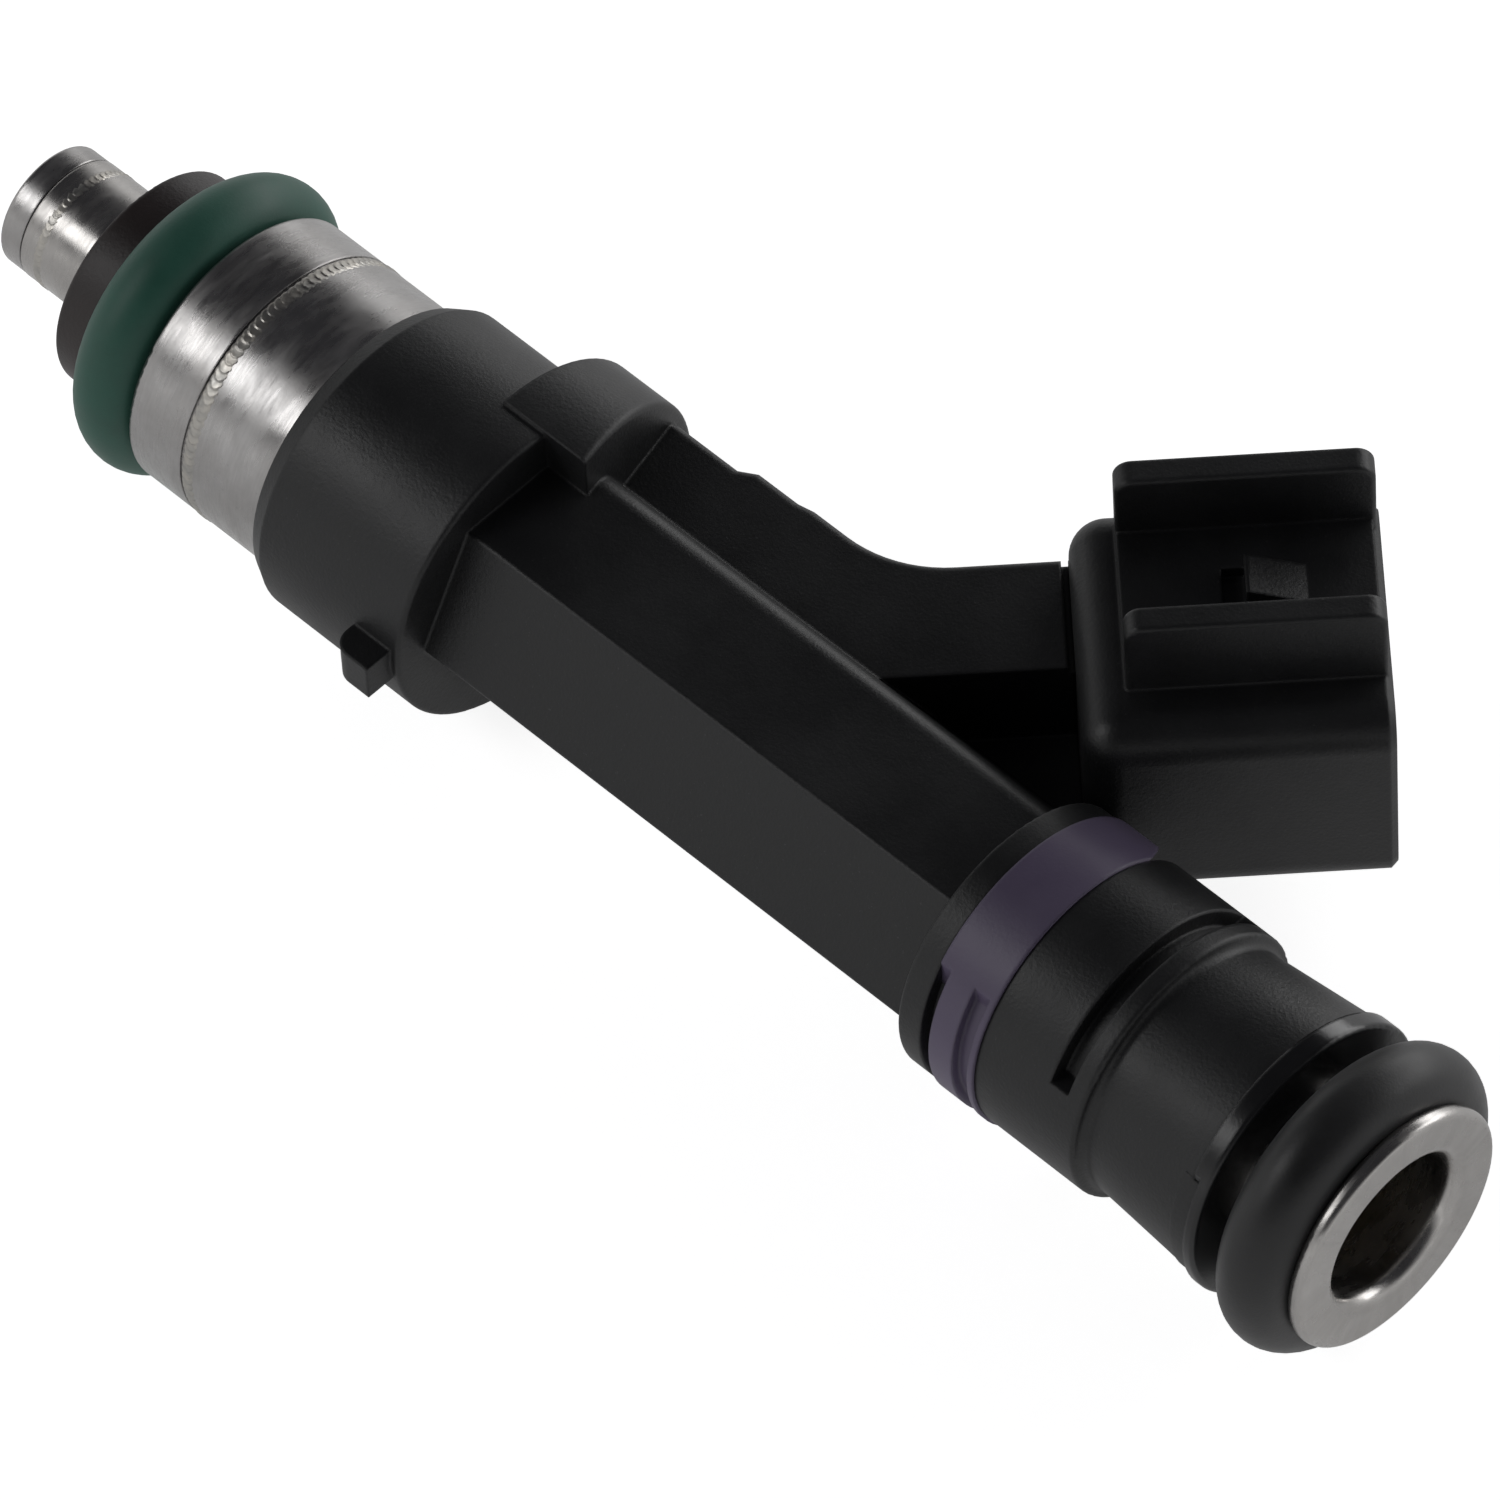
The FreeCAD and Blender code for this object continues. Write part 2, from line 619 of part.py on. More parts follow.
def make_valve_body():
    """Turned steel carrier of the lower O-ring, welded to the magnet housing."""
    groove_end = weld_line - s.relief_setback
    groove_start = groove_end - s.relief_width
    groove = s.pot_radius - s.relief_depth
    profile = (
        (s.tip_length, s.tube_radius),
        (s.tip_length, s.seal_seat_radius),
        (pot_front, s.seal_seat_radius),
        (pot_front, s.pot_radius),
        (groove_start, s.pot_radius),
        (groove_start, groove),
        (groove_end, groove),
        (groove_end, s.pot_radius),
        (weld_line, s.pot_radius),
        (weld_line, s.tube_radius),
    )
    rounds = ((pot_front, s.pot_radius, s.pot_edge),)
    return turned("valve_body", profile, rounds)


def make_magnet_housing():
    return tube("magnet_housing", s.pot_radius, pot_bore, weld_line, pot_end)


def make_yoke_washer():
    ring = tube("yoke_blank", pot_bore, s.tube_radius, bobbin_end, pot_end)
    notch = box("yoke_notch", (bobbin_end, pot_end), (s.tower_low, pot_bore * 2),
                (-(s.yoke_notch / 2), s.yoke_notch / 2))
    return cut("yoke_washer", ring, notch)


def make_coil_bobbin():
    """Spool with a tower that carries the terminals' feet through the yoke."""
    barrel = s.tube_radius + s.bobbin_wall
    cheek = pot_bore - s.bobbin_cheek_play
    profile = (
        (bobbin_start, s.tube_radius),
        (bobbin_start, cheek),
        (bobbin_start + s.bobbin_cheek, cheek),
        (bobbin_start + s.bobbin_cheek, barrel),
        (bobbin_end - s.bobbin_cheek, barrel),
        (bobbin_end - s.bobbin_cheek, cheek),
        (bobbin_end, cheek),
        (bobbin_end, s.tube_radius),
    )
    spool = turned("bobbin_spool", profile)
    return fuse("coil_bobbin", spool, tower("bobbin_tower"))


def tower(name):
    return box(name, (bobbin_end, bobbin_end + s.tower_length), (s.tower_low, s.tower_high),
               (-(s.tower_width / 2), s.tower_width / 2))


def make_coil_winding():
    barrel = s.tube_radius + s.bobbin_wall
    return tube("coil_winding", barrel + s.winding_depth, barrel,
                bobbin_start + s.bobbin_cheek, bobbin_end - s.bobbin_cheek)


def terminal_strip(name, foot, height, neck_offset, blade_offset):
    """Stamped strip: foot, run along the channel, run up the neck, sidestep, blade."""
    half = s.strip_width / 2
    thick = (-(s.blade_thickness / 2), s.blade_thickness / 2)
    foot_x = bobbin_end + foot
    bend = (height - s.connector_angle.cosine() * neck_offset) / s.connector_angle.sine()
    step_low = socket_floor - s.strip_step
    step_high = step_low + s.strip_width
    low_side = min(neck_offset, blade_offset, key=lambda size: size.value)
    high_side = max(neck_offset, blade_offset, key=lambda size: size.value)
    blade_end = socket_floor + s.blade_reach
    pieces = (
        box(f"{name}_foot", (foot_x - half, foot_x + half), (s.tower_high, height + half), thick),
        box(f"{name}_run", (foot_x - half, connector_x(bend, neck_offset)),
            (height - half, height + half), thick),
        connector_box(f"{name}_neck", (bend - half, step_high),
                      (neck_offset - half, neck_offset + half), thick),
        connector_box(f"{name}_sidestep", (step_low, step_high),
                      (low_side - half, high_side + half), thick),
        terminal_blade(f"{name}_blade", step_low, blade_end, blade_offset, thick),
    )
    return fuse(name, *pieces)


def terminal_blade(name, start, end, offset, thick):
    half = s.blade_width / 2
    blank = connector_box(f"{name}_blank", (start, end), (offset - half, offset + half), thick)
    tip = Vector(connector_x(end, offset).value, connector_y(end, offset).value, 0)
    return round_edges(name, blank, s.blade_tip,
                       lambda edge: edge.CenterOfMass.distanceToPoint(tip) < half.value * 1.2,
                       "Part::Chamfer")


def make_terminals(prefix):
    inner = terminal_strip(f"{prefix}a", s.inner_foot, s.inner_strip_height,
                           s.inner_strip_neck, -s.blade_offset - s.blade_shift)
    outer = terminal_strip(f"{prefix}b", s.outer_foot, s.outer_strip_height,
                           s.outer_strip_neck, s.blade_offset - s.blade_shift)
    return inner, outer


# ---------------------------------------------------------------- moulded body


def make_barrel():
    profile = (
        (barrel_start, 0),
        (barrel_start, s.barrel_nose_radius),
        (barrel_start + s.barrel_chamfer, s.barrel_radius),
        (shoulder, s.barrel_radius),
        (shoulder, 0),
    )
    return turned("barrel", profile, ((shoulder, s.barrel_radius, s.plain_edge),))


def make_upper_body():
    """Collar, colour ring groove, clip body and tapered inlet neck."""
    profile = (
        (collar_start, 0),
        (collar_start, s.collar_radius),
        (band_start, s.collar_radius),
        (band_start, s.band_seat_radius),
        (band_end, s.band_seat_radius),
        (band_end, s.collar_radius),
        (step, s.collar_radius),
        (step, s.inlet_neck_small),
        (neck_end, s.inlet_neck_large),
        (neck_end, 0),
    )
    rounds = (
        (collar_start, s.collar_radius, s.fine_edge),
        (step, s.collar_radius, s.fine_edge),
        (step, s.inlet_neck_small, s.inlet_neck_root),
    )
    return turned("upper_body", profile, rounds)


def make_clip_slots():
    """Two opposite slots for a retaining clip, open to +Z and -Z."""
    end = step + s.clip_slot_width - s.clip_slot_from_step
    start = step - s.clip_slot_from_step
    groove = tube("clip_groove", s.collar_radius * 1.2, s.collar_radius - s.clip_slot_depth,
                  start, end)
    reach = s.collar_radius * 1.5
    land = box("clip_land", (start, end), (-reach, reach), (-s.clip_slot_land, s.clip_slot_land))
    return cut("clip_slots", groove, land)


def make_hexagon():
    prism = document.addObject("Part::Prism", "hexagon_blank")
    prism.Polygon = 6
    prism.Placement = Placement(Vector(), CORNER_TO_Y)
    bind(prism, Circumradius=s.hex_radius, Height=s.hex_length + 1)
    move(prism, shoulder - 0.5)
    corner_y = s.hex_radius.value / 2

    def beside_channel(edge):
        return runs_along(edge, Vector(1, 0, 0)) and abs(edge.CenterOfMass.y - corner_y) < 0.01

    def other_corner(edge):
        return runs_along(edge, Vector(1, 0, 0)) and edge.CenterOfMass.y < 0

    soft = round_edges("hexagon_soft", prism, s.hex_round, beside_channel)
    return round_edges("hexagon", soft, s.plain_edge, other_corner)


def make_saddle():
    """Top lug and saddle: the barrel's curve moved out towards the connector."""
    front = shoulder - s.lug_start
    back = saddle_end + 1
    reach = s.barrel_radius * 2
    round_part = cylinder("saddle_round", s.barrel_radius - s.saddle_inset, front, back, s.lug_shift)
    limit = box("saddle_limit", (front, back), (s.saddle_low, reach), (-reach, reach))
    end = document.addObject("Part::Box", "saddle_end_cut")
    end.Placement = Placement(Vector(), Rotation(Vector(0, 0, 1), s.saddle_slope.value))
    end.setExpression("Placement.Rotation.Angle", f"{s.saddle_slope.text} * 1 deg")
    bind(end, Length=reach, Width=reach * 2, Height=reach * 2)
    low = reach / 2
    move(end, saddle_end + s.saddle_slope.sine() * low,
         s.saddle_low - s.saddle_slope.cosine() * low, -reach)
    saddle = cut("saddle_cut", common("saddle_blank", round_part, limit), end)
    back_x = saddle_end.value

    def outer_edge(edge):
        middle = edge.CenterOfMass
        far = math.hypot(middle.y - s.lug_shift.value, middle.z) > 4
        return middle.x > back_x - 3 and far and not runs_along(edge, Vector(1, 0, 0))

    return round_edges("saddle", saddle, s.saddle_edge, outer_edge)


def make_key():
    back = shoulder - s.key_setback
    front = back - s.key_length
    outer = -(s.barrel_radius + s.key_height)
    blank = box("key_blank", (front, back), (outer, outer + s.key_height * 2),
                (-(s.key_width / 2), s.key_width / 2))

    def front_corner(edge):
        middle = edge.CenterOfMass
        return abs(middle.x - front.value) < 0.01 and abs(middle.y - outer.value) < 0.01

    return round_edges("key", blank, s.key_edge, front_corner)


def make_channel():
    """Lead channel along the body, bending into the connector neck."""
    start = shoulder - 0.5
    first = saddle_end + s.channel_low_length
    second = first + s.channel_ramp + s.channel_mid_length
    inside = s.hex_radius / 2
    foot = (inside + s.connector_angle.cosine() * s.neck_bottom) / s.connector_angle.sine()
    far = s.shell_start + s.shell_round
    bend = (s.channel_height - s.connector_angle.cosine() * s.neck_top)
    bend = bend / s.connector_angle.sine()
    outline = (
        (start, inside),
        (start, s.channel_low_height),
        (first, s.channel_low_height),
        (first + s.channel_ramp, s.channel_mid_height),
        (second, s.channel_mid_height),
        (second + s.channel_ramp, s.channel_height),
        (connector_x(bend, s.neck_top), s.channel_height),
        (connector_x(far, s.neck_top), connector_y(far, s.neck_top)),
        (connector_x(far, -s.neck_bottom), connector_y(far, -s.neck_bottom)),
        (connector_x(foot, -s.neck_bottom), inside),
    )
    body, pad = padded("channel", outline, s.channel_half)
    document.recompute()
    corner = connector_x(bend, s.neck_top).value

    def inside_bend(edge):
        middle = edge.CenterOfMass
        upright = runs_along(edge, Vector(0, 0, 1))
        return upright and abs(middle.x - corner) < 0.01 and middle.y > s.hex_radius.value

    bent = body.newObject("PartDesign::Fillet", "channel_bend")
    bent.Base = (pad, [f"Edge{n}" for n in edge_numbers(pad.Shape, inside_bend)])
    bind(bent, Radius=s.neck_bend)
    document.recompute()

    def long_edge(edge):
        middle = edge.CenterOfMass
        flat = abs(abs(middle.z) - s.channel_half.value) < 0.001
        return flat and middle.y > s.hex_radius.value + 1.5

    soft = body.newObject("PartDesign::Fillet", "channel_edges")
    soft.Base = (bent, [f"Edge{n}" for n in edge_numbers(bent.Shape, long_edge)])
    bind(soft, Radius=s.channel_edge)
    return body


def make_neck_groove():
    """Groove round three sides of the neck where it meets the socket."""
    along = (s.shell_start - s.neck_groove, s.shell_start)
    thick = s.channel_half
    beyond = s.neck_top + 1
    high = connector_box("neck_groove_top", along, (-s.neck_bottom, beyond),
                         (thick - s.neck_groove, thick + 1))
    low = connector_box("neck_groove_bottom", along, (-s.neck_bottom, beyond),
                        (-(thick + 1), s.neck_groove - thick))
    side = connector_box("neck_groove_side", along, (s.neck_top - s.neck_groove, beyond),
                         (-(thick + 1), thick + 1))
    return fuse("neck_groove_cut", high, low, side)


def make_web():
    """Web that closes the corner between body, neck and socket."""
    inside = s.hex_radius / 2
    foot = (inside + s.connector_angle.cosine() * s.neck_bottom) / s.connector_angle.sine()
    far = s.shell_start + s.shell_round
    end = collar_start + s.web_bite
    outline = (
        (connector_x(foot, 0), inside),
        (connector_x(far, 0), connector_y(far, 0)),
        (connector_x(far, -s.web_corner), connector_y(far, -s.web_corner)),
        (end, s.web_end),
        (end, inside),
    )
    plan, _ = padded("web_plan", outline, s.web_bottom)
    reach = s.hex_radius * 3
    level = box("web_level", (shoulder, band_end), (ORIGIN, reach),
                (-s.web_bottom, -s.web_top))
    return common("web", plan, level)


def along_of(point):
    """Distance of a point along the connector axis from its root."""
    angle = math.radians(s.connector_angle.value)
    return (point.x - s.connector_root.value) * math.cos(angle) + point.y * math.sin(angle)


def make_shell(name):
    """Connector shell, rounded along its edges and round its back."""
    blank = connector_box(f"{name}_blank", (s.shell_start, shell_end),
                          (-s.shell_inner, s.shell_outer), (-s.shell_bottom, s.shell_top))
    end = shell_end.value

    def not_mouth(edge):
        return along_of(edge.CenterOfMass) < end - 0.01

    soft = round_edges(f"{name}_soft", blank, s.shell_round, not_mouth)
    return round_edges(name, soft, s.mouth_chamfer,
                       lambda edge: along_of(edge.CenterOfMass) > end - 0.01, "Part::Chamfer")


def make_socket():
    """The socket's space, with softened corners."""
    wall = s.shell_wall
    blank = connector_box("socket_blank", (socket_floor, shell_end + 1),
                          (wall - s.shell_inner, s.shell_outer - wall),
                          (wall - s.shell_bottom, s.shell_top - wall))
    angle = math.radians(s.connector_angle.value)
    axis = Vector(math.cos(angle), math.sin(angle), 0)
    return round_edges("socket", blank, s.socket_round,
                       lambda edge: runs_along(edge, axis))


def make_fin(name, low, high):
    start = s.shell_start + s.fin_setback
    top = s.shell_top + s.fin_rise
    blank = connector_box(f"{name}_blank", (start, start + s.fin_length), (low, high),
                          (top - s.fin_rise - s.shell_wall / 2, top))
    angle = math.radians(s.connector_angle.value)
    across = Vector(-math.sin(angle), math.cos(angle), 0)

    def top_corner(edge):
        return runs_along(edge, across) and edge.CenterOfMass.z > top.value - 0.01

    soft = round_edges(f"{name}_soft", blank, s.fin_round, top_corner)
    return round_edges(name, soft, s.fine_edge,
                       lambda edge: edge.CenterOfMass.z > top.value - 0.5 and
                       not runs_along(edge, across))


def make_fins():
    side = s.fin_side
    return (make_fin("fin_outer", side - s.fin_thickness, side),
            make_fin("fin_inner", -side, -side + s.fin_thickness))


def make_platform():
    """Raised pad between the guide fins."""
    side = s.fin_side - s.fin_thickness / 2
    return connector_box("platform", (s.shell_start + s.fin_setback, shell_end - s.mouth_chamfer),
                         (-side, side), (s.shell_top - s.shell_wall / 2, platform_top))


def make_latch():
    """Ramp that the plug's catch rides over, with its low end towards the mouth."""
    low = s.shell_wall / 4
    start = shell_end - s.latch_setback - s.latch_length
    ramp = document.addObject("Part::Wedge", "latch")
    turn = Rotation(Vector(0, 0, 1), s.connector_angle.value)
    ramp.Placement = Placement(Vector(), turn.multiply(Rotation(Vector(1, 0, 0), 90)))
    bind(ramp, Xmin=0, Ymin=0, Zmin=0, X2min=0, Z2min=0)
    bind(ramp, Xmax=s.latch_length * (s.latch_rise + low) / s.latch_rise)
    bind(ramp, Ymax=s.latch_rise + low, Zmax=s.latch_width)
    bind(ramp, X2max=s.latch_top, Z2max=s.latch_width)
    across = s.latch_width / 2
    move(ramp, connector_x(start, across), connector_y(start, across), platform_top - low)
    return ramp


def make_latch_slot():
    end = shell_end - s.latch_setback - s.latch_length
    half = s.latch_width / 2
    return connector_box("latch_slot", (end - s.latch_slot, end), (-half, half),
                         (platform_top - s.shell_wall / 2, platform_top + 1))


def make_ring_key():
    """Key on the neck's end that stops the upper support ring turning."""
    blank = cylinder("ring_key_round", s.inlet_neck_large, neck_end - 0.5,
                     neck_end + s.ring_key_depth)
    limit = box("ring_key_limit", (neck_end - 0.5, neck_end + s.ring_key_depth),
                (-(s.inlet_neck_large * 2), -s.ring_key_low),
                (-(s.inlet_neck_large * 2), s.inlet_neck_large * 2))
    return common("ring_key", blank, limit)


def make_core_space():
    """Everything inside the moulding: steel, washer, tubes and bobbin tower."""
    steel = cylinder("space_steel", s.pot_radius, barrel_start - 1, pot_end)
    valve = cylinder("space_valve_tube", s.tube_radius, pot_end - 1, s.tube_end)
    inlet = cylinder("space_inlet_tube", s.seal_seat_radius, s.tube_end, neck_end + 2)
    return steel, valve, inlet, tower("space_tower")


def make_overmold_body():
    outside = fuse("moulding_outside", make_barrel(), make_upper_body(), make_hexagon(),
                   make_saddle(), make_key(), make_channel(), make_web(), make_ring_key())
    inside = fuse("moulding_inside", *make_core_space(), make_shell("space_shell"),
                  make_clip_slots(), make_neck_groove(), *make_terminals("space_terminal_"))
    return cut("overmold_body", outside, inside)


def make_connector_shell():
    """The moulding's socket, guide fins, raised pad and latch."""
    outside = fuse("connector_outside", make_shell("shell"), *make_fins(), make_platform(),
                   make_latch())
    inside = fuse("connector_inside", make_socket(), make_latch_slot(),
                  *make_terminals("socket_terminal_"))
    return cut("connector_shell", outside, inside)


# ---------------------------------------------------------------- rings, seals, inlet


def make_o_ring(name, station):
    item = document.addObject("Part::Torus", name)
    item.Placement = Placement(Vector(), ALONG_X)
    bind(item, Radius1=seal_ring_radius, Radius2=s.seal_cord / 2)
    move(item, station)
    return item


def make_lower_support_ring():
    profile = (
        (s.tip_length, s.seal_seat_radius),
        (s.tip_length, s.lower_ring_radius),
        (lower_ring_end, s.lower_ring_radius),
        (lower_ring_end, s.seal_seat_radius),
    )
    rounds = ((s.tip_length, s.lower_ring_radius, s.plain_edge),
              (lower_ring_end, s.lower_ring_radius, s.plain_edge))
    return turned("lower_support_ring", profile, rounds)


def make_upper_support_ring():
    profile = (
        (neck_end, s.seal_seat_radius),
        (neck_end, s.upper_ring_radius),
        (upper_ring_end, s.upper_ring_radius),
        (upper_ring_end, s.seal_seat_radius),
    )
    rounds = ((upper_ring_end, s.upper_ring_radius, s.plain_edge),)
    blank = turned("upper_ring_blank", profile, rounds)
    notch = box("upper_ring_notch", (neck_end - 1, neck_end + s.ring_key_depth),
                (-(s.upper_ring_radius * 2), -s.ring_key_low),
                (-(s.upper_ring_radius * 2), s.upper_ring_radius * 2))
    return cut("upper_support_ring", blank, notch)


def make_band_bevel(reach):
    """The space behind one leaning cut across the colour ring's open end."""
    item = document.addObject("Part::Box", "band_bevel")
    lean = Size.of(90) - s.band_bevel_slope
    item.Placement = Placement(Vector(), Rotation(Vector(0, 1, 0), lean.value))
    item.setExpression("Placement.Rotation.Angle", f"{lean.text} * 1 deg")
    bind(item, Length=reach, Width=reach, Height=reach)
    move(item, band_start + s.band_bevel_start - s.band_bevel_half / s.band_bevel_slope.tangent())
    return item


def make_colour_code_ring():
    """Open ring snapped into its groove, narrower and channelled on its far side."""
    inner = s.band_seat_radius + s.band_fit
    blank = tube("band_blank", s.band_radius, inner, band_start, band_end)
    reach = s.band_radius * 2
    gap = box("band_opening", (band_start, band_end), (ORIGIN, reach), (-s.band_gap, s.band_gap))
    bevel = make_band_bevel(reach)
    other_bevel = document.addObject("Part::Mirroring", "band_bevel_mirrored")
    other_bevel.Source = bevel
    other_bevel.Normal = (0, 0, 1)
    far = (-reach, -s.band_far)
    relief = box("band_front_relief", (band_start, band_start + s.band_relief), far,
                 (-reach, reach))
    channel_end = band_end - s.band_channel_setback
    groove = tube("band_groove", s.band_radius * 1.1, s.band_radius - s.band_channel_depth,
                  channel_end - s.band_channel_width, channel_end)
    groove_limit = box("band_groove_limit", (band_start, band_end), far, (-reach, reach))
    channel = common("band_channel", groove, groove_limit)
    return cut("colour_code_ring", blank, fuse("band_cuts", gap, bevel, other_bevel, relief, channel))


def make_inlet_tube():
    """Tube with a rolled flange whose face curves into the bore."""
    profile = (
        (s.tube_end, inlet_bore),
        (s.tube_end, s.seal_seat_radius),
        (flange_back, s.seal_seat_radius),
        (flange_back, s.flange_radius),
        (inlet_face, s.flange_radius),
        (inlet_face, counterbore),
        (filter_top, counterbore),
        (filter_top, inlet_bore),
    )
    rounds = (
        (flange_back, s.seal_seat_radius, s.flange_edge),
        (flange_back, s.flange_radius, s.flange_edge),
        (inlet_face, s.flange_radius, s.flange_edge),
        (inlet_face, counterbore, s.flange_lip),
    )
    return turned("inlet_tube", profile, rounds)


def make_filter_ring():
    start = filter_top - s.filter_ring_length
    return tube("filter_ring", inlet_bore, inlet_bore - s.filter_ring_wall, start, filter_top)


def make_filter_frame():
    """Moulded cage: a ring that fits in the metal one, four ribs and a closed end."""
    top = filter_top - s.filter_ring_length
    bottom = filter_top - s.filter_length
    seat = tube("filter_seat", inlet_bore, s.mesh_radius, top - s.frame_end, top)
    end = cylinder("filter_end", s.mesh_radius + s.frame_wall, bottom, bottom + s.frame_end)
    ribs = []
    half = s.rib_half
    sleeve = tube("filter_rib_sleeve", s.mesh_radius + s.frame_wall, s.mesh_radius, bottom, top)
    reach = inlet_bore * 2
    ribs.append(box("filter_rib_flat", (bottom, top), (-reach, reach), (-half, half)))
    ribs.append(box("filter_rib_upright", (bottom, top), (-half, half), (-reach, reach)))
    cage = common("filter_ribs", sleeve, fuse("filter_rib_cross", *ribs))
    return fuse("filter_frame", seat, end, cage)


def make_filter_mesh():
    top = filter_top - s.filter_ring_length
    bottom = filter_top - s.filter_length + s.frame_end
    return tube("filter_mesh", s.mesh_radius, s.mesh_radius - s.mesh_thickness, bottom, top)


terminals = make_terminals("terminal_")
NODES = {
    "nozzle_cap": make_nozzle_cap(),
    "valve_tube": make_valve_tube(),
    "orifice_plate": make_orifice_plate(),
    "valve_seat": make_valve_seat(),
    "valve_ball": ball("valve_ball"),
    "needle_tube": make_needle_tube(),
    "armature": make_armature(),
    "closing_spring": make_closing_spring(),
    "pole_core": make_pole_core(),
    "adjusting_sleeve": make_adjusting_sleeve(),
    "valve_body": make_valve_body(),
    "magnet_housing": make_magnet_housing(),
    "yoke_washer": make_yoke_washer(),
    "coil_bobbin": make_coil_bobbin(),
    "coil_winding": make_coil_winding(),
    "terminal_a": terminals[0],
    "terminal_b": terminals[1],
    "overmold_body": make_overmold_body(),
    "connector_shell": make_connector_shell(),
    "lower_support_ring": make_lower_support_ring(),
    "lower_o_ring": make_o_ring("lower_o_ring", lower_seal),
    "upper_support_ring": make_upper_support_ring(),
    "upper_o_ring": make_o_ring("upper_o_ring", upper_seal),
    "colour_code_ring": make_colour_code_ring(),
    "inlet_tube": make_inlet_tube(),
    "filter_ring": make_filter_ring(),
    "filter_frame": make_filter_frame(),
    "filter_mesh": make_filter_mesh(),
}

document.recompute()
for item in document.Objects:
    if "Invalid" in item.State or "Error" in item.State:
        raise RuntimeError(f"{item.Name} failed: {item.State}")

os.makedirs("parts", exist_ok=True)
for node, item in NODES.items():
    item.Label = node
    shape = item.Shape
    if shape.isNull() or not shape.isValid() or not shape.Solids:
        raise RuntimeError(f"{node} has no valid solid")
    shape.exportStep(os.path.join("parts", f"{node}.step"))
    print(f"{node:20s} solids {len(shape.Solids)}  volume {shape.Volume:9.3f} mm3")
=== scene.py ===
import json
import math

import bmesh
import bpy
from mathutils import Matrix, Vector


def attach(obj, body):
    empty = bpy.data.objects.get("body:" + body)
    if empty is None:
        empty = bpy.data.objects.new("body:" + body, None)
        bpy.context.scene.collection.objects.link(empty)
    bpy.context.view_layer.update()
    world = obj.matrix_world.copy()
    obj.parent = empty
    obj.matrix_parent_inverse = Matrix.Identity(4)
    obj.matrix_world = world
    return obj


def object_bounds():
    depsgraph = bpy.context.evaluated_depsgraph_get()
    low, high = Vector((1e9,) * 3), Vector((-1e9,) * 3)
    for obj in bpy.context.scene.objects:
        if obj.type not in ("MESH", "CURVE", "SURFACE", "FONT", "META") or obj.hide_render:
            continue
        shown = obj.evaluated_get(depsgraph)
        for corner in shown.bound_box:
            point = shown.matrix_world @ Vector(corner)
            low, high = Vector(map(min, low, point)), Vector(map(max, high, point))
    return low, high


# A fuel injector lying on a pale floor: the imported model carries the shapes, and this
# script adds the materials, the weld beads, the light and the camera.  Lengths are in
# metres; MM turns a size in millimetres into metres.

MM = 0.001
DUST_GREY = (0.30, 0.30, 0.31)
BEVEL_SAMPLES = 6

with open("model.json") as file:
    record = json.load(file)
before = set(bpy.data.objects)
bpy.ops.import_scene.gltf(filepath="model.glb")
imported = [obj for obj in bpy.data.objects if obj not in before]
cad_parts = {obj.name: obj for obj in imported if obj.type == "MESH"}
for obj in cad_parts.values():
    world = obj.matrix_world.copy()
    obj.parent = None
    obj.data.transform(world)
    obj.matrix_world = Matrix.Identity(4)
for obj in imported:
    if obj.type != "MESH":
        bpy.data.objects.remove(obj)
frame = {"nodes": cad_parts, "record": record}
CAD_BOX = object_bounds()
NODES = frame["nodes"]


# ------------------------------------------------------------------ shader building


